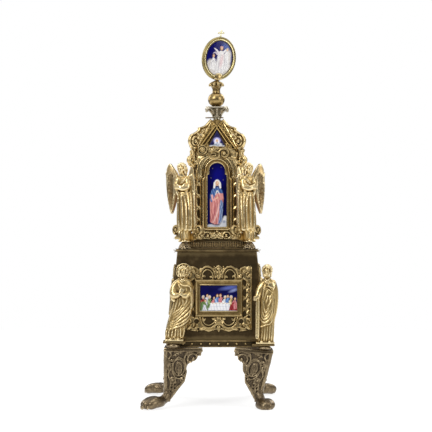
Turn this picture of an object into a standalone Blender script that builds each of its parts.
"""Artophorion: a four-sided altar tabernacle in cast and sheet brass with enamel plaques.

Metres, +Z up. The front looks along -Y. The origin lies on the floor in the middle of the four feet.
The body stands a little to the right of it, as the two right-hand legs have bent inwards at the foot.
"""

import math

import bmesh
import bpy
from mathutils import Matrix, Vector

MM = 0.001
GAP = 0.3 * MM  # between pieces that touch

# --- driving dimensions ---------------------------------------------------------------------------
CORNERS = {"front_left": (-1, -1), "front_right": (1, -1), "back_right": (1, 1), "back_left": (-1, 1)}
LEAN = dict(zip(CORNERS, (0, 21 * MM, 21 * MM, -4 * MM)))  # of each foot, inwards of its leg's top
TOE_TURN = dict(zip(CORNERS, (0.8, 0.5, 0.8, 0.8)))  # outwards from straight ahead, in radians
TOE_SIZE = dict(zip(CORNERS, (1, 0.82, 0.95, 1)))
AXIS_X = 9.65 * MM  # the body's own upright axis
SAG = 4 * MM  # drop of the front right corner

LEG_TOP = 86.7 * MM
LEG_CORNER = Vector((77.5 * MM, 80 * MM))  # from the base's middle to the outer faces of a leg
LEG_WING = 54 * MM
LEG_WALL = 5 * MM

PLATE_HALF = 74 * MM
PLATE_BASE = 87 * MM
PLATE_TOP = 97 * MM
LUG_REACH = Vector((80.5 * MM, 92.5 * MM))
LUG_INNER = Vector((48 * MM, 60 * MM))
LUG_THICK = 3 * MM
CUSHION_RADIUS = 9.5 * MM
CUSHION_AT = Vector((66 * MM, 84.5 * MM))
BASE_SHIFT = 2.5 * MM  # the plate, the legs and the lower frames sit to the right of the body's axis

CASING_BASE_HALF = 70 * MM
CASING_TOP_HALF = 58.5 * MM
CASING_TOP = 225 * MM
CASING_WALL = 2 * MM

TOP_PLATE_HALF = 61 * MM
TOP_PLATE_THICK = 3 * MM
MID_TOP = 241 * MM
MID_BASE_HALF = 52 * MM
MID_TOP_HALF = 42 * MM
BOSS_RADIUS = 10 * MM
BOSS_AT = 47 * MM  # the angels' places, along X and along Y
ANGEL_TURN = math.radians(20)  # how far each angel looks outwards from straight ahead
ANGEL_LEAN = 0.025  # every angel leans a little to the left
SAINT_SLANT = 0.095  # three of the saints lean in with the tapering wall
SAINT_PLINTH = Vector((15.6 * MM, 8.8 * MM))
SAINT_AT = {-1: -63.5 * MM, 1: 66.5 * MM}  # along X, from the base's middle
SAINT_TALLER = 1.03  # the front right one, against the others

SHRINE_HALF = 33 * MM
SHRINE_EAVES = 372 * MM
ROOF_TOP_HALF = 9 * MM
ROOF_TOP = 417 * MM
SHRINE_WALL = 1.5 * MM

CAPITAL_TOP = 441.5 * MM
BALL_CENTRE = 452.5 * MM
BALL_RADIUS = 12.5 * MM
NECK_TOP = 472 * MM
CAP_TOP = 480.5 * MM
MEDALLION_CENTRE = 514.3 * MM
MEDALLION_HALF = Vector((25.8 * MM, 32 * MM))
MEDALLION_SIGHT = Vector((19.9 * MM, 26.6 * MM))
MEDALLION_DEPTH = 9 * MM
MEDALLION_TURN = math.radians(20)
MEDALLION_SLANT = 0.07  # the medallion and its cross lean to the right, and the ball below stands left
FINIAL_SHIFT = 1 * MM
CROSS_TOP = 557 * MM

SIDES = ("front", "right", "back", "left")


# --- materials ------------------------------------------------------------------------------------
def metal(name, colour, roughness):
    """A Principled metal with one colour."""
    material = bpy.data.materials.new(name)
    material.use_nodes = True
    shader = material.node_tree.nodes["Principled BSDF"]
    shader.inputs["Base Color"].default_value = (*colour, 1)
    shader.inputs["Roughness"].default_value = roughness
    shader.inputs["Metallic"].default_value = 1
    return material


def glaze(name, colour):
    """A glossy enamel with one colour."""
    material = metal(name, colour, 0.12)
    material.node_tree.nodes["Principled BSDF"].inputs["Metallic"].default_value = 0
    return material


# --- shapes ---------------------------------------------------------------------------------------
def in_mm(*values):
    """A point or a list of radii given in millimetres."""
    return tuple(value * MM for value in values)


def start_scene():
    """Empties the scene and makes the collection that holds the pieces."""
    for obj in list(bpy.data.objects):
        bpy.data.objects.remove(obj, do_unlink=True)
    collection = bpy.data.collections.new("artophorion")
    bpy.context.scene.collection.children.link(collection)
    return collection


def add_object(name, data, material=None):
    """Links new data to the object's collection under a piece's name."""
    obj = bpy.data.objects.new(name, data)
    PARTS.objects.link(obj)
    if material:
        data.materials.clear()
        data.materials.append(material)
    return obj


def from_bmesh(name, bm, material=None):
    """Turns a bmesh into an object."""
    mesh = bpy.data.meshes.new(name)
    bm.to_mesh(mesh)
    bm.free()
    return add_object(name, mesh, material)


def as_mesh(obj):
    """Replaces an object by the welded mesh that its curve and modifiers make."""
    bpy.context.view_layer.update()
    graph = bpy.context.evaluated_depsgraph_get()
    mesh = bpy.data.meshes.new_from_object(obj.evaluated_get(graph), depsgraph=graph)
    mesh.transform(obj.matrix_world)
    bm = bmesh.new()
    bm.from_mesh(mesh)
    bmesh.ops.remove_doubles(bm, verts=bm.verts, dist=0.001 * MM)
    bm.to_mesh(mesh)
    bm.free()
    name = obj.name
    bpy.data.objects.remove(obj, do_unlink=True)
    return add_object(name, mesh)


def block(name, low, high, material=None):
    """An upright box between two corners."""
    bm = bmesh.new()
    bmesh.ops.create_cube(bm, size=1)
    low, high = Vector(low), Vector(high)
    place = Matrix.Translation((low + high) / 2) @ Matrix.Diagonal((*(high - low), 1))
    bmesh.ops.transform(bm, verts=bm.verts, matrix=place)
    return from_bmesh(name, bm, material)


def frustum(name, base_half, top_half, base, top, open_base=False, open_top=False):
    """A square pyramid cut off flat, from a cube whose upper corners are drawn in."""
    bm = bmesh.new()
    bmesh.ops.create_cube(bm, size=2)
    for vert in bm.verts:
        half = top_half if vert.co.z > 0 else base_half
        vert.co = (vert.co.x * half, vert.co.y * half, top if vert.co.z > 0 else base)
    ends = [f for f in bm.faces if abs(f.normal.z) > 0.9]
    drop = [f for f in ends if (open_top if f.normal.z > 0 else open_base)]
    bmesh.ops.delete(bm, geom=drop, context="FACES_ONLY")
    return from_bmesh(name, bm)


def hollow_frustum(name, base_half, top_half, base, top, wall, closed_top=False):
    """A four-sided tapering sheet box, open below and, unless closed, above."""
    outer = frustum(name, base_half, top_half, base, top)
    slope = (top_half - base_half) / (top - base)
    low, high = base - 10 * MM, top - wall if closed_top else top + 10 * MM
    halves = [base_half + slope * (level - base) - wall for level in (low, high)]
    return outer, frustum(name + "_bore", *halves, low, high)


def thicken(obj, wall):
    """Gives an open shell its wall, inwards from the faces as drawn."""
    solid = obj.modifiers.new("wall", "SOLIDIFY")
    solid.thickness = wall
    solid.offset = -1
    solid.use_even_offset = True
    return as_mesh(obj)


def ball(name, centre, radii, segments=8, rings=5, turn=None):
    """A stretched sphere, turned about its own centre."""
    bm = bmesh.new()
    bmesh.ops.create_uvsphere(bm, u_segments=segments, v_segments=rings, radius=1)
    turn = turn or Matrix.Identity(4)
    place = Matrix.Translation(centre) @ turn @ Matrix.Diagonal((*radii, 1))
    bmesh.ops.transform(bm, verts=bm.verts, matrix=place)
    return from_bmesh(name, bm)


def turned(name, profile, steps, material=None):
    """A lathe-turned solid about Z, from (radius, height) points listed from the top down."""
    mesh = bpy.data.meshes.new(name)
    points = [(radius, 0, height) for radius, height in profile]
    mesh.from_pydata(points, [(i, i + 1) for i in range(len(points) - 1)], [])
    obj = add_object(name, mesh, material)
    screw = obj.modifiers.new("lathe", "SCREW")
    screw.steps = screw.render_steps = steps
    screw.use_merge_vertices = True
    screw.merge_threshold = 0.001 * MM
    screw.use_smooth_shade = True
    return obj


def slab(name, outlines, base, top):
    """A level plate with windows: the outlines run in X and Y."""
    curve = bpy.data.curves.new(name, "CURVE")
    curve.dimensions = "2D"
    curve.fill_mode = "BOTH"
    curve.extrude = (top - base) / 2
    for points in outlines:
        spline = curve.splines.new("POLY")
        spline.points.add(len(points) - 1)
        spline.use_cyclic_u = True
        for target, (x, y) in zip(spline.points, points):
            target.co = (x, y, 0, 1)
    obj = as_mesh(add_object(name, curve))
    obj.data.transform(Matrix.Translation((0, 0, (base + top) / 2)))
    return obj


def cut_sheet(name, outlines, back, front):
    """An upright plate with windows: the outlines run in X and Z, and the plate from -Y back to -Y front."""
    obj = slab(name, outlines, back, front)
    obj.data.transform(Matrix.Rotation(math.radians(90), 4, "X"))
    return obj


def rod(name, points, radii, rings=0):
    """A tapering tube through points, with its ends closed."""
    curve = bpy.data.curves.new(name, "CURVE")
    curve.dimensions = "3D"
    curve.bevel_depth = 1
    curve.bevel_resolution = rings
    curve.use_fill_caps = True
    spline = curve.splines.new("POLY")
    spline.points.add(len(points) - 1)
    for target, point, radius in zip(spline.points, points, radii):
        target.co = (*point, 1)
        target.radius = radius
    return as_mesh(add_object(name, curve))


def join(name, pieces, material, cutters=()):
    """Unites solids into one casting, takes the cutters out of it, and removes what it used."""
    base = pieces[0]
    others = [(piece, "UNION") for piece in pieces[1:]] + [(cutter, "DIFFERENCE") for cutter in cutters]
    for other, operation in others:
        boolean = base.modifiers.new(operation, "BOOLEAN")
        boolean.object = other
        boolean.operation = operation
    merged = as_mesh(base)
    for other, _ in others:
        bpy.data.objects.remove(other, do_unlink=True)
    merged.name = name
    merged.data.materials.clear()
    merged.data.materials.append(material)
    return merged


def arc(centre, radius, start, end, steps):
    """Points on an arc, in degrees, in either sense."""
    angles = [math.radians(start + (end - start) * i / steps) for i in range(steps + 1)]
    return [(centre[0] + radius * math.cos(a), centre[1] + radius * math.sin(a)) for a in angles]


def oval(centre, half_width, half_height, steps):
    """Points round an ellipse."""
    unit = arc((0, 0), 1, 0, 360 * (1 - 1 / steps), steps - 1)
    return [(centre[0] + half_width * x, centre[1] + half_height * y) for x, y in unit]


def mirrored(points):
    """An outline's right half, given upwards or downwards, and its reflection after it."""
    return points + [(-x, z) for x, z in reversed(points)]


def copies(piece, names, turns):
    """Places a piece built at the front, and its copies, each turned about the body's axis."""
    mesh = piece.data
    for name, turn in zip(names, turns):
        copy = bpy.data.objects.new(name, mesh)
        PARTS.objects.link(copy)
        copy.location = (AXIS_X, 0, 0)
        copy.rotation_euler = (0, 0, turn)
    bpy.data.objects.remove(piece, do_unlink=True)


def on_every_side(piece, stem):
    """Four copies of a piece built at the front, one for each side."""
    copies(piece, [f"{stem}_{side}" for side in SIDES], [math.radians(90 * i) for i in range(4)])


def on_axis(obj, aside=0.0):
    """Places a piece built round the origin on the body's axis, or a little to the right of it."""
    obj.location.x += AXIS_X + aside
    return obj


def wall_frame(half_width, base, slope, aside=0.0):
    """The matrix that lays a plate built on the plane Y = 0 against a wall that leans in by slope."""
    return Matrix.Translation((aside, -half_width, base)) @ Matrix.Rotation(-slope, 4, "X")


# --- legs and base --------------------------------------------------------------------------------
def leg_wing(name, start, foot):
    """One face of a leg: a cast bracket with a stepped inner edge, from the corner near X = 0 inwards."""
    outline = [
        (start, foot),
        (start, LEG_TOP - 2 * MM),
        (0.98 * LEG_WING, LEG_TOP - 2 * MM),
        (0.96 * LEG_WING, 0.87 * LEG_TOP),
        *arc((0.72 * LEG_WING, 0.87 * LEG_TOP), 0.09 * LEG_TOP, 0, -90, 2),
        *arc((0.72 * LEG_WING, 0.66 * LEG_TOP), 0.1 * LEG_TOP, 90, 210, 2),
        (0.51 * LEG_WING, 0.43 * LEG_TOP),
        (0.13 * LEG_WING, foot + 3 * MM),
        (0.13 * LEG_WING, foot),
    ]
    return cut_sheet(name, [outline], 0, LEG_WALL)


def leg_cartouche(name):
    """The raised oval shield and the leaf below it, on a leg's face."""
    shield = oval((0.36 * LEG_WING, 0.68 * LEG_TOP), 9 * MM, 13 * MM, 8)
    leaf = oval((0.2 * LEG_WING, 0.37 * LEG_TOP), 5 * MM, 11 * MM, 6)
    proud = LEG_WALL + 1.8 * MM
    return [cut_sheet(f"{name}_{i}", [shape], LEG_WALL / 2, proud) for i, shape in enumerate((shield, leaf))]


def paw(name, size):
    """Three clawed toes of a scroll foot and its heel, pointing to -Y from the leg's corner."""
    toes = [ball(name + "_heel", in_mm(0, -1, 8.5), in_mm(11, 10.5, 11))]
    for i, (spread, length) in enumerate(((-25, 17), (1, 22), (25, 16.5))):
        turn = Matrix.Rotation(math.radians(spread), 4, "Z")
        centre = turn @ Vector((0, -size * (length + 5) * MM, (7 - 0.3 * i) * MM))
        toes.append(ball(f"{name}_{i}", centre, in_mm(5.8, size * length, 8.2), 7, 4, turn))
    return toes


def leg(corner, material):
    """A two-faced corner bracket on a paw, with a moulding along its top."""
    name = "leg_" + corner
    swap_faces = Matrix.Rotation(math.radians(-90), 4, "Z") @ Matrix.Scale(-1, 4, (1, 0, 0))
    low, reach, out = LEG_TOP - 6 * MM, LEG_WING, -2 * MM
    corner_line = [(out, out), (reach, out), (reach, 7 * MM), in_mm(8, 8), (7 * MM, reach), (out, reach)]
    pieces = [slab("ledge", [corner_line], low, LEG_TOP)]
    for i, place in enumerate((Matrix.Identity(4), swap_faces)):
        inwards = Matrix.Translation((0, LEG_WALL - 0.3 * MM * i, 0))
        for face in (leg_wing(f"wing{i}", i * MM, (9 + 0.7 * i) * MM), *leg_cartouche(f"cartouche{i}")):
            face.data.transform(place @ inwards)
            if i == 1:
                face.data.flip_normals()
            pieces.append(face)
    outwards = Matrix.Translation(in_mm(3, 3, 0)) @ Matrix.Rotation(-TOE_TURN[corner], 4, "Z")
    for toe in paw("toe", TOE_SIZE[corner]):
        toe.data.transform(outwards)
        pieces.append(toe)
    floor = block("floor", in_mm(-60, -60, -20), in_mm(60, 60, 0))
    casting = join(name, pieces, material, [floor])
    bend_leg(casting.data, corner)
    casting.data.transform(Matrix.Translation((-LEG_CORNER.x, -LEG_CORNER.y, 0)))
    x_sign, y_sign = CORNERS[corner]
    casting.data.transform(Matrix.Diagonal((-x_sign, -y_sign, 1, 1)))
    if x_sign != y_sign:
        casting.data.flip_normals()
    return on_axis(casting, BASE_SHIFT)


def bend_leg(mesh, corner):
    """Bends a leg, built at the front left corner, as far as the real one at that corner has bent."""
    drop = SAG if corner == "front_right" else 0
    for vert in mesh.vertices:
        height = vert.co.z / LEG_TOP
        reach = max(0, min(1, 1 - vert.co.x / LEG_WING))
        vert.co.x += LEAN[corner] * (1 - height)
        vert.co.z -= drop * height * reach


def lug_top(corner):
    """The level of the base plate's lug at a corner."""
    return PLATE_TOP - (SAG if corner == "front_right" else 0)


def base_plate(material):
    """The square plate, and at each corner a lug that a saint stands on."""
    half = PLATE_HALF
    pieces = [block("band", (-half, -half, PLATE_BASE), (half, half, PLATE_TOP - 0.02 * MM))]
    for corner, (x_sign, y_sign) in CORNERS.items():
        xs = sorted((x_sign * LUG_INNER.x, x_sign * LUG_REACH.x))
        ys = sorted((y_sign * LUG_INNER.y, y_sign * LUG_REACH.y))
        top = lug_top(corner)
        pieces.append(block("lug_" + corner, (xs[0], ys[0], top - LUG_THICK), (xs[1], ys[1], top)))
    return on_axis(join("base_plate", pieces, material), BASE_SHIFT)


def cushion(corner, material):
    """The turned spacer between a lug and the top of its leg."""
    x_sign, y_sign = CORNERS[corner]
    top = lug_top(corner) - LUG_THICK - GAP
    base = PLATE_BASE - (0.6 * SAG if corner == "front_right" else 0) + GAP
    waist = 0.7 * CUSHION_RADIUS
    middle = (top + base) / 2
    profile = [(0, top), (waist, top), (CUSHION_RADIUS, middle), (waist, base), (0, base)]
    piece = turned("cushion_" + corner, profile, 10, material)
    piece.location.y = y_sign * CUSHION_AT.y
    return on_axis(piece, BASE_SHIFT + x_sign * CUSHION_AT.x)


# --- casing, plates and roof ----------------------------------------------------------------------
def lower_casing(material):
    """Four tapering sheet walls, open above and below, which the two plates close."""
    base = PLATE_TOP + GAP
    shell, bore = hollow_frustum("shell", CASING_BASE_HALF, CASING_TOP_HALF, base, CASING_TOP, CASING_WALL)
    return on_axis(join("lower_casing", [shell], material, [bore]))


def top_plate(material):
    """The thin square plate over the lower casing."""
    half, base = TOP_PLATE_HALF, CASING_TOP + GAP
    return on_axis(block("top_plate", (-half, -half, base), (half, half, base + TOP_PLATE_THICK), material))


def mid_plinth(material):
    """The sloping skirt under the shrine, hollow below, with a domed boss at each corner for an angel."""
    base = CASING_TOP + TOP_PLATE_THICK + 2 * GAP
    halves = (MID_BASE_HALF, MID_TOP_HALF)
    skirt, bore = hollow_frustum("skirt", *halves, base, MID_TOP, 3 * MM, closed_top=True)
    pieces = [join("hollow_skirt", [skirt], material, [bore])]
    for corner, (x_sign, y_sign) in CORNERS.items():
        rise = MID_TOP + 1 * MM - base
        dome = [(0, 1), (0.5, 1), (0.85, 0.75), (1, 0.35), (1, 0), (0, 0)]
        boss = as_mesh(turned("boss_" + corner, [(BOSS_RADIUS * r, base + rise * h) for r, h in dome], 8))
        boss.data.transform(Matrix.Translation((x_sign * BOSS_AT, y_sign * BOSS_AT, 0)))
        pieces.append(boss)
    return on_axis(join("mid_plinth", pieces, material))


def shrine_casing(material):
    """The upper sheet box with its hipped roof in one, open below."""
    base = MID_TOP + GAP
    box = frustum("shrine_casing", SHRINE_HALF, SHRINE_HALF, base, SHRINE_EAVES, True, True)
    bm = bmesh.new()
    bm.from_mesh(box.data)
    rim = [e for e in bm.edges if e.is_boundary and all(v.co.z > (base + SHRINE_EAVES) / 2 for v in e.verts)]
    roof = bmesh.ops.extrude_edge_only(bm, edges=rim)["geom"]
    peak = [v for v in roof if isinstance(v, bmesh.types.BMVert)]
    for vert in peak:
        shrink = ROOF_TOP_HALF / SHRINE_HALF
        vert.co = (vert.co.x * shrink, vert.co.y * shrink, ROOF_TOP)
    bmesh.ops.contextual_create(bm, geom=[e for e in bm.edges if all(v in peak for v in e.verts)])
    bmesh.ops.recalc_face_normals(bm, faces=bm.faces)
    bm.to_mesh(box.data)
    bm.free()
    shell = thicken(box, SHRINE_WALL)
    shell.data.materials.append(material)
    return on_axis(shell)


# --- openwork frames and enamels ------------------------------------------------------------------
def leaf_hole(x, z, half_width, half_height, tilt=0.0):
    """A pointed four-sided hole of the openwork."""
    points = [(0, 1), (-1, 0), (0, -1), (1, 0)]
    c, s = math.cos(tilt), math.sin(tilt)
    scaled = [(px * half_width, pz * half_height) for px, pz in points]
    return [(x + px * c - pz * s, z + px * s + pz * c) for px, pz in scaled]


def shouldered_arch(half_width, radius, sill, shoulder, centre, steps):
    """A door-shaped outline whose round head is narrower than its jambs."""
    head = arc((0, centre), radius, 0, 180, steps)
    return [(half_width, sill), (half_width, shoulder), (radius, shoulder), *head, (-radius, shoulder),
            (-half_width, shoulder), (-half_width, sill)]


ARCH_SIGHT = (13.9 * MM, 11 * MM, 261.5 * MM, 339.5 * MM, 345.6 * MM)
ARCH_FRAME = (24.3 * MM, 19.3 * MM, 255.6 * MM, 335 * MM, 345.3 * MM)


def inset(shape, by):
    """The same shouldered arch, smaller by a margin all round."""
    half_width, radius, sill, shoulder, centre = shape
    return (half_width - by, radius - by, sill + by, shoulder - by, centre)


def shrine_frame(material):
    """The front of the shrine: openwork scroll panel and arched moulding in one casting."""
    low, high, half = 243.5 * MM, 368 * MM, 30 * MM
    edge = []
    lobes = 4
    for i in range(lobes):
        z = low + (high - low) * (i + 0.5) / lobes
        edge += arc((half - 4 * MM, z), 5 * MM, -62, 62, 2)
    panel_outline = mirrored([(0.6 * half, low), *edge, (0.62 * half, high)])
    windows = [shouldered_arch(*inset(ARCH_FRAME, 3 * MM), 4)]
    column = 26.6 * MM
    for x in (-column, column):
        windows += [leaf_hole(x, (268 + 22 * i) * MM, 1.6 * MM, 7 * MM) for i in range(4)]
    windows += [leaf_hole(x * MM, 249.5 * MM, 3 * MM, 3.4 * MM) for x in (-12, 0, 12)]
    panel = cut_sheet("panel", [panel_outline, *windows], GAP, 3.3 * MM)
    bed_lines = [shouldered_arch(*shape, 6) for shape in (ARCH_FRAME, ARCH_SIGHT)]
    moulding = cut_sheet("moulding", bed_lines, 0.5 * MM, 4.4 * MM)
    rim_lines = [shouldered_arch(*inset(ARCH_FRAME, by * MM), 5) for by in (1, 4.5)]
    rim = cut_sheet("rim", rim_lines, 2 * MM, 6.6 * MM)
    casting = join("shrine_frame", [moulding, rim, panel], material)
    casting.data.transform(Matrix.Translation((0, -SHRINE_HALF, 0)))
    on_every_side(casting, "shrine_frame")


def shrine_enamel(material):
    """The arched plaque in the shrine's frame."""
    plaque = cut_sheet("shrine_enamel", [shouldered_arch(*inset(ARCH_SIGHT, GAP), 6)], GAP, 2.4 * MM)
    plaque.data.transform(Matrix.Translation((0, -SHRINE_HALF, 0)))
    plaque.data.materials.append(material)
    on_every_side(plaque, "shrine_enamel")


ROOF_SLOPE = math.atan2(SHRINE_HALF - ROOF_TOP_HALF, ROOF_TOP - SHRINE_EAVES)
GABLE_OUTER = [(26.5 * MM, 3 * MM), (0, 50 * MM), (-26.5 * MM, 3 * MM)]
GABLE_SIGHT = [(12.8 * MM, 8.2 * MM), (0, 38.4 * MM), (-12.8 * MM, 8.2 * MM)]


def shrunk(triangle, share):
    """A triangle drawn in towards its middle."""
    middle = [sum(p[i] for p in triangle) / 3 for i in (0, 1)]
    return [tuple(m + (p - m) * share for p, m in zip(point, middle)) for point in triangle]


def gable(frame_material, enamel_material):
    """A three-sided moulding with two rosettes on each slope of the roof, and the plaque in it."""
    lie_back = wall_frame(SHRINE_HALF, SHRINE_EAVES, ROOF_SLOPE)
    moulding = cut_sheet("gable_moulding", [GABLE_OUTER, GABLE_SIGHT], GAP, 3 * MM)
    rim = cut_sheet("gable_rim", [shrunk(GABLE_OUTER, 0.9), shrunk(GABLE_OUTER, 0.72)], 1 * MM, 4.6 * MM)
    rosettes = []
    for x in (-15, 15):
        disc = oval(in_mm(x, 4.6), 5.4 * MM, 5.4 * MM, 8)
        rosettes.append(cut_sheet(f"rosette{x}", [disc], 0.6 * MM, 5.4 * MM))
    casting = join("gable_frame", [moulding, rim, *rosettes], frame_material)
    casting.data.transform(lie_back)
    on_every_side(casting, "gable_frame")
    plaque = cut_sheet("gable_enamel", [shrunk(GABLE_SIGHT, 0.94)], GAP, 2 * MM)
    plaque.data.transform(lie_back)
    plaque.data.materials.append(enamel_material)
    on_every_side(plaque, "gable_enamel")


LOWER_SLOPE = math.atan2(CASING_BASE_HALF - CASING_TOP_HALF, CASING_TOP - PLATE_TOP)
LOWER_MIDDLE = 61 * MM  # up the wall from the base plate, to the middle of the frame
LOWER_SIGHT = Vector((26.9 * MM, 18.8 * MM))
LOWER_MOULDING = Vector((34.4 * MM, 26.8 * MM))
LOWER_PANEL = Vector((48.5 * MM, 48 * MM))


def rectangle(half):
    """The outline of the lower enamel or of its moulding."""
    top, base = LOWER_MIDDLE + half.y, LOWER_MIDDLE - half.y
    return [(half.x, base), (half.x, top), (-half.x, top), (-half.x, base)]


def lower_frame(material):
    """The square openwork panel with its oblong moulding, in one casting."""
    top, base = LOWER_MIDDLE + LOWER_PANEL.y, LOWER_MIDDLE - LOWER_PANEL.y
    side = LOWER_PANEL.x
    scallops = []
    for i in range(5):
        z = base + (i + 0.5) * (top - base) / 5
        scallops += arc((side - 3 * MM, z), 8.5 * MM, -62, 62, 2)
    crown = [(0.72 * side, top - 1 * MM), (0.5 * side, top - 5 * MM), (0.12 * side, top + 3 * MM)]
    drop = [(0.12 * side, base - 3 * MM), (0.5 * side, base + 3 * MM), (0.72 * side, base - 1 * MM)]
    outline = [(min(x, side), z) for x, z in [*drop, *scallops, *crown]]
    windows = [rectangle(LOWER_MOULDING - Vector((2 * MM, 2 * MM)))]
    for x in (-1, 1):
        for level, height in ((34.5, 5.5), (-34.5, 5.5)):
            windows.append(leaf_hole(x * 17 * MM, LOWER_MIDDLE + level * MM, 10 * MM, height * MM))
        for level in (-24, -8, 8, 24):
            windows.append(leaf_hole(x * 41.5 * MM, LOWER_MIDDLE + level * MM, 3 * MM, 6 * MM))
    panel = cut_sheet("panel", [mirrored(outline), *windows], GAP, 3.2 * MM)
    moulding = cut_sheet("moulding", [rectangle(LOWER_MOULDING), rectangle(LOWER_SIGHT)], 0.5 * MM, 4 * MM)
    rim_outer = LOWER_MOULDING - Vector((1 * MM, 1 * MM))
    rim_inner = LOWER_MOULDING - Vector((4 * MM, 4 * MM))
    rim = cut_sheet("rim", [rectangle(rim_outer), rectangle(rim_inner)], 2 * MM, 6 * MM)
    casting = join("lower_frame", [moulding, rim, panel], material)
    casting.data.transform(wall_frame(CASING_BASE_HALF, PLATE_TOP, LOWER_SLOPE, BASE_SHIFT))
    on_every_side(casting, "lower_frame")


def lower_enamel(material):
    """The oblong plaque in the lower frame."""
    plaque = cut_sheet("lower_enamel", [rectangle(LOWER_SIGHT - Vector((GAP, GAP)))], GAP, 2.4 * MM)
    plaque.data.transform(wall_frame(CASING_BASE_HALF, PLATE_TOP, LOWER_SLOPE, BASE_SHIFT))
    plaque.data.materials.append(material)
    on_every_side(plaque, "lower_enamel")


# --- roof crests and finial -----------------------------------------------------------------------
def hip_radius(level):
    """How far out along the diagonal a crest starts at a level of the roof."""
    share = (ROOF_TOP - level) / (ROOF_TOP - SHRINE_EAVES)
    return math.sqrt(2) * (ROOF_TOP_HALF + share * (SHRINE_HALF - ROOF_TOP_HALF)) + 2 * GAP


def crest(material):
    """A scrolled fin on a hip of the roof: a large ear, a notch and a smaller shoulder scroll below it."""
    hip_base = SHRINE_HALF * math.sqrt(2) + GAP
    ear, shoulder = (47.5 * MM, 389 * MM), (55 * MM, 360.5 * MM)
    outline = [
        (hip_radius(ROOF_TOP - 2 * MM), ROOF_TOP - 2 * MM),
        (22 * MM, 412 * MM),
        (36 * MM, 408.5 * MM),
        (38 * MM, 404.5 * MM),
        *arc(ear, 10.5 * MM, 75, -75, 5),
        (hip_base + 2 * MM, 370 * MM),
        *arc(shoulder, 6.5 * MM, 100, -110, 4),
        (hip_base, 349 * MM),
        (hip_base, SHRINE_EAVES),
    ]
    fin = cut_sheet("crest", [outline], -3 * MM, 3 * MM)
    rolls = []
    for (x, z), radius, half in ((ear, 7 * MM, 4.6 * MM), (shoulder, 4.4 * MM, 4.2 * MM)):
        rolls.append(cut_sheet(f"roll{radius:.4f}", [oval((x, z), radius, radius, 8)], -half, half))
    casting = join("crest", [fin, *rolls], material)
    names = ["crest_front_right", "crest_back_right", "crest_back_left", "crest_front_left"]
    copies(casting, names, [math.radians(90 * i - 45) for i in range(4)])


def capital(material):
    """A leaf capital that flares from a round neck to four turned-down corners."""
    rings = (
        (ROOF_TOP + GAP, 9.5, 0.2),
        (422 * MM, 7.2, 0.1),
        (427 * MM, 6.2, 0.1),
        (432 * MM, 8.2, 0.25),
        (436.5 * MM, 12.5, 0.55),
        (439.5 * MM, 15.5, 0.85),
        (CAPITAL_TOP, 16, 0.9),
    )
    sides = 16
    bm = bmesh.new()
    loops = []
    for level, half, squareness in rings:
        ring = []
        for i in range(sides):
            a = 2 * math.pi * i / sides
            corner = abs(math.sin(2 * a)) ** 3
            radius = half * MM * (1 + squareness * 0.32 * corner)
            droop = corner * squareness * 1.5 * MM
            ring.append(bm.verts.new((radius * math.cos(a), radius * math.sin(a), level - droop)))
        loops.append(ring)
    for below, above in zip(loops, loops[1:]):
        for i in range(sides):
            j = (i + 1) % sides
            bm.faces.new((below[i], below[j], above[j], above[i]))
    flat = [v for v in loops[0]]
    for vert in flat:
        vert.co.z = ROOF_TOP + GAP
    bm.faces.new(list(reversed(loops[0])))
    crown = bm.verts.new((0, 0, CAPITAL_TOP))
    for i in range(sides):
        bm.faces.new((loops[-1][i], loops[-1][(i + 1) % sides], crown))
    return on_axis(from_bmesh("capital", bm, material))


def finial_ball(material):
    """The turned ball with its hollow-sided neck."""
    base = CAPITAL_TOP + GAP
    globe = []
    for x, z in arc((0, BALL_CENTRE), 1, 62, -62, 8):
        globe.append((BALL_RADIUS * x, BALL_CENTRE + (z - BALL_CENTRE) * 0.89 * BALL_RADIUS))
    profile = [
        (0, NECK_TOP),
        (6.4 * MM, NECK_TOP),
        (5.4 * MM, NECK_TOP - 3 * MM),
        (5 * MM, NECK_TOP - 6 * MM),
        *globe,
        (5.4 * MM, base),
        (0, base),
    ]
    return on_axis(turned("finial_ball", profile, 16, material), -FINIAL_SHIFT)


def finial_cap(material):
    """The leafed cap over the neck, with the stem that carries the medallion."""
    base = NECK_TOP + GAP
    profile = [
        (0, CAP_TOP),
        (2.4 * MM, CAP_TOP),
        (2.6 * MM, CAP_TOP - 1.6 * MM),
        (6.5 * MM, CAP_TOP - 3.6 * MM),
        (10.8 * MM, base + 1.8 * MM),
        (10.2 * MM, base + 0.6 * MM),
        (5 * MM, base),
        (0, base),
    ]
    return on_axis(turned("finial_cap", profile, 12, material), -FINIAL_SHIFT)


def face_right(obj):
    """Turns and leans a piece of the finial as the medallion has turned and leant on its stem."""
    slant = Matrix.Shear("XY", 4, (MEDALLION_SLANT, 0))
    foot = Matrix.Translation((0, 0, CAP_TOP))
    obj.data.transform(foot @ slant @ foot.inverted() @ Matrix.Rotation(MEDALLION_TURN, 4, "Z"))
    return on_axis(obj, FINIAL_SHIFT / 2)


def oval_ring(name, centre, half, sight, depth, steps):
    """A bezel round an oval, swept from a section with a soft belt outside and flat rims."""
    width = half - sight
    section = [(0, 0.22), (0.22, 0.5), (1, 0.5), (1, -0.5), (0.22, -0.5), (0, -0.22)]
    bm = bmesh.new()
    loops = []
    for inwards, forwards in section:
        radii = half - width * inwards
        points = oval(centre, radii.x, radii.y, steps)
        loops.append([bm.verts.new((x, -forwards * depth, z)) for x, z in points])
    for loop, after in zip(loops, loops[1:] + loops[:1]):
        for i in range(steps):
            j = (i + 1) % steps
            bm.faces.new((loop[i], loop[j], after[j], after[i]))
    bmesh.ops.recalc_face_normals(bm, faces=bm.faces)
    return from_bmesh(name, bm)


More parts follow.
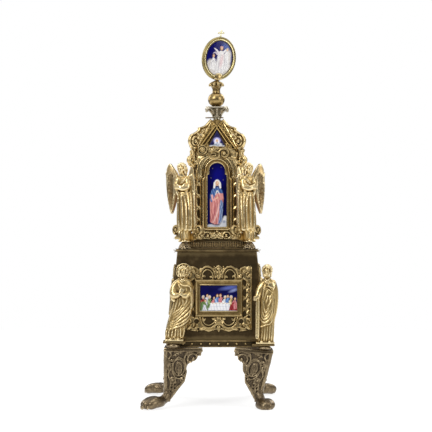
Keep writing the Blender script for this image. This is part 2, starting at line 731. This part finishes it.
def medallion(frame_material, enamel_material):
    """The oval bezel, closed behind, with a leaf clasp at its foot, and the plaque in it."""
    centre = (0, MEDALLION_CENTRE)
    half, sight = MEDALLION_HALF, MEDALLION_SIGHT
    ring = oval_ring("ring", centre, half, sight, MEDALLION_DEPTH, 18)
    back_line = oval(centre, sight.x + 2 * MM, sight.y + 2 * MM, 18)
    back = cut_sheet("back", [back_line], -0.4 * MEDALLION_DEPTH, 0)
    foot = MEDALLION_CENTRE - half.y
    clasp = ball("clasp", (0, -0.45 * MEDALLION_DEPTH, foot + 5 * MM), in_mm(7, 4, 7.5), 8, 5)
    stem = block("stem", (-1.6 * MM, -1.6 * MM, CAP_TOP + GAP), (1.6 * MM, 1.6 * MM, foot + 3 * MM))
    face_right(join("medallion_frame", [ring, back, clasp, stem], frame_material))
    plaque_line = oval(centre, sight.x - GAP, sight.y - GAP, 18)
    plaque = cut_sheet("medallion_enamel", [plaque_line], GAP, 0.35 * MEDALLION_DEPTH)
    hollow = ball("hollow", (0, -0.45 * MEDALLION_DEPTH, foot + 5 * MM), in_mm(7.4, 4.4, 7.9), 8, 5)
    face_right(join("medallion_enamel", [plaque], enamel_material, [hollow]))


def cross(material):
    """The small budded cross, tipped a little to the right."""
    base = MEDALLION_CENTRE + MEDALLION_HALF.y + GAP
    height = CROSS_TOP - base
    arm_level = 0.56 * height
    half = 0.8 * MM
    pieces = [
        block("upright", (-half, -half, 0), (half, half, 0.8 * height)),
        block("arm", (-3.6 * MM, -0.9 * half, arm_level - half), (3.6 * MM, 0.9 * half, arm_level + half)),
        block("foot", in_mm(-1.8, -1.4, 0.01), in_mm(1.8, 1.4, 1)),
    ]
    for x, z in ((-3.8, arm_level), (3.8, arm_level), (0, 0.86 * height)):
        pieces.append(ball(f"bud{x}", (x * MM, 0, z), in_mm(1.35, 1.2, 1.35), 6, 4))
    casting = join("cross", pieces, material)
    slant = Matrix.Shear("XY", 4, (math.tan(math.radians(8)), 0))
    casting.data.transform(Matrix.Translation((0, 0, base)) @ slant)
    face_right(casting)


# --- figures --------------------------------------------------------------------------------------
def robe(name, rings, folds, sides=12):
    """A closed draped body through level rings of (height, half width, half depth, X, Y, fold)."""
    bm = bmesh.new()
    loops = []
    for height, half_width, half_depth, x, y, fold in rings:
        ring = []
        for i in range(sides):
            a = 2 * math.pi * i / sides
            swell = 1 + fold * math.cos(folds * a)
            point = (x + half_width * swell * math.sin(a), y - half_depth * swell * math.cos(a), height)
            ring.append(bm.verts.new(Vector(point)))
        loops.append(ring)
    for below, above in zip(loops, loops[1:]):
        for i in range(sides):
            j = (i + 1) % sides
            bm.faces.new((below[i], below[j], above[j], above[i]))
    bm.faces.new(list(reversed(loops[0])))
    bm.faces.new(loops[-1])
    for vert in bm.verts:
        vert.co *= MM
    return from_bmesh(name, bm)


def saint(corner, kind, material):
    """A bearded saint in tunic and cloak on a thin plinth, holding a book or a long scroll."""
    name = "saint_" + corner
    rings = [
        (2, 12.6, 7.4, 0, 0, 0.07),
        (30, 13.2, 8, 0, 0, 0.08),
        (58, 13.2, 8, 1, 0, 0.05),
        (84, 12.6, 7.4, 0.6, 0, 0),
        (90, 8.6, 6, 0, 0.4, 0),
        (95, 3.6, 3.6, 0, 0.2, 0),
    ]
    pieces = [robe(name, rings, 5)]
    pieces.append(ball("head", in_mm(0, -0.8, 101), in_mm(5.6, 6, 7)))
    pieces.append(ball("hair", in_mm(0, 1, 103), in_mm(6.9, 6.3, 6.4)))
    pieces.append(ball("beard", in_mm(0, -4.2, 94.5), in_mm(3.8, 3.2, 5.2), 6, 4))
    if kind == "book":
        pieces.append(block("book", in_mm(1.5, -12.6, 62), in_mm(9.5, -7, 77)))
        arm = [in_mm(-10.5, -1, 84), in_mm(-14, -3, 67), in_mm(-1, -9.6, 66)]
        pieces.append(rod("arm", arm, in_mm(4, 4.4, 2.8), 1))
        cloak = [in_mm(10.2, 0, 86), in_mm(12, -2.6, 66), in_mm(12, -3, 40), in_mm(10.4, -3, 14)]
        pieces.append(rod("cloak", cloak, in_mm(3.4, 5, 4.6, 3.6), 1))
    else:
        arm = [in_mm(-10.5, -1, 84), in_mm(-13.6, -3, 70), in_mm(-12, -8, 62)]
        pieces.append(rod("arm", arm, in_mm(4, 4.4, 3), 1))
        scroll = [in_mm(-11.6, -8, 66), in_mm(-10.6, -8.6, 40), in_mm(-9.6, -8.6, 6)]
        pieces.append(rod("scroll", scroll, in_mm(2.4, 2.6, 2.2), 1))
        raised = [in_mm(10.2, -1, 84), in_mm(9.6, -7, 76), in_mm(0, -9.4, 80)]
        pieces.append(rod("raised", raised, in_mm(4, 3.8, 2.8), 1))
        cloak = [in_mm(10.4, 0, 86), in_mm(12.2, -1, 62), in_mm(11, -1.4, 26)]
        pieces.append(rod("cloak", cloak, in_mm(3.4, 4.6, 3.4), 1))
    pieces.append(block("plinth", (*-SAINT_PLINTH, 0), (*SAINT_PLINTH, 3 * MM)))
    figure = join(name, pieces, material)
    x_sign, y_sign = CORNERS[corner]
    slope = Matrix.Shear("XY", 4, (-x_sign * SAINT_SLANT, -y_sign * SAINT_SLANT / 2))
    if corner == "front_right":
        slope = Matrix.Shear("XY", 4, (0.025, 0)) @ Matrix.Scale(SAINT_TALLER, 4, (0, 0, 1))
    turn = Matrix.Rotation(0 if y_sign < 0 else math.pi, 4, "Z")
    place = Vector((SAINT_AT[x_sign], y_sign * (LUG_REACH.y - SAINT_PLINTH.y), lug_top(corner) + GAP))
    figure.data.transform(Matrix.Translation(place) @ slope @ turn)
    return on_axis(figure, BASE_SHIFT)


def wing(name, reach, side):
    """A long feathered wing behind the shoulder, its outer edge at reach from the angel's axis."""
    leading = [(0.1, 84), (0.5, 103), (0.66, 111), (0.82, 107), (0.97, 94)]
    trailing = [(1, 80), (0.94, 58), (0.82, 38), (0.62, 56), (0.4, 70)]
    outline = leading + trailing
    return cut_sheet(name, [[(side * x * reach, z * MM) for x, z in outline]], -4.2 * MM, -1 * MM)


def foot_scrolls(turn):
    """The scroll bracket behind an angel's feet: two volutes on a bar."""
    bar_line = mirrored([in_mm(18, 2), in_mm(24, 9), in_mm(16, 15)])
    pieces = [cut_sheet("bar", [bar_line], -8.4 * MM, -4 * MM)]
    for side in (-1, 1):
        volute = oval((side * 24 * MM, 13 * MM), 7 * MM, 9 * MM, 8)
        pieces.append(cut_sheet(f"volute{side}", [volute], -9.4 * MM, -3.4 * MM))
    for piece in pieces:
        piece.data.transform(turn)
    return pieces


def angel(corner, material):
    """An angel with crossed arms, one wing spread outwards and the other folded close beside the shrine."""
    x_sign, y_sign = CORNERS[corner]
    outer = -x_sign * y_sign  # the side of its outer wing, once it faces front or back
    name = "angel_" + corner
    rings = [
        (0, 12, 8.4, 0, 0, 0.1),
        (36, 10.4, 7.4, 0, 0, 0.1),
        (62, 8, 6, 0, 0, 0.03),
        (88, 9.2, 5.4, 0, 0, 0),
        (96, 3.2, 3.2, 0, 0, 0),
    ]
    pieces = [robe(name, rings, 5)]
    pieces.append(ball("head", in_mm(0, -1.2, 102.5), in_mm(5.2, 5.8, 6.6)))
    pieces.append(ball("hair", in_mm(0, 0.6, 105), in_mm(7.2, 6.6, 7.4)))
    for side in (-1, 1):
        arm = [in_mm(side * 8.4, -0.4, 88), in_mm(side * 12, -2.4, 75), in_mm(-side * 2.4, -8, 73 + side)]
        pieces.append(rod(f"arm{side}", arm, in_mm(3.4, 3.8, 2.2), 1))
    pieces.append(wing("spread", 30 * MM, outer))
    pieces.append(wing("folded", 15.5 * MM, -outer))
    to_diagonal = outer * (math.radians(45) - ANGEL_TURN)
    pieces += foot_scrolls(Matrix.Rotation(to_diagonal, 4, "Z"))
    figure = join(name, pieces, material)
    face = Matrix.Rotation((0 if y_sign < 0 else math.pi) + outer * ANGEL_TURN, 4, "Z")
    lean = Matrix.Shear("XY", 4, (-ANGEL_LEAN, 0))
    place = (x_sign * BOSS_AT, y_sign * BOSS_AT, MID_TOP + 1 * MM + GAP)
    figure.data.transform(Matrix.Translation(place) @ lean @ face)
    return on_axis(figure)


# --- the whole ------------------------------------------------------------------------------------
def build():
    """Builds every piece, from the floor up."""
    cast = metal("leg_brass", (0.19, 0.14, 0.09), 0.42)
    sheet = metal("sheet_brass", (0.13, 0.095, 0.05), 0.42)
    moulded = metal("frame_gilt", (0.5, 0.36, 0.16), 0.32)
    figures = metal("figure_gilt", (0.68, 0.52, 0.25), 0.3)
    spun = metal("finial_gilt", (0.45, 0.31, 0.13), 0.3)
    blue = glaze("enamel", (0.01, 0.01, 0.32))
    for corner in CORNERS:
        leg(corner, cast)
        cushion(corner, cast)
    base_plate(sheet)
    lower_casing(sheet)
    lower_frame(moulded)
    lower_enamel(blue)
    for corner in CORNERS:
        saint(corner, "scroll" if corner in ("front_right", "back_left") else "book", figures)
    top_plate(sheet)
    mid_plinth(sheet)
    shrine_casing(sheet)
    shrine_frame(moulded)
    shrine_enamel(blue)
    gable(moulded, blue)
    for corner in CORNERS:
        angel(corner, figures)
    crest(moulded)
    capital(cast)
    finial_ball(spun)
    finial_cap(spun)
    medallion(moulded, blue)
    cross(spun)


PARTS = start_scene()
build()
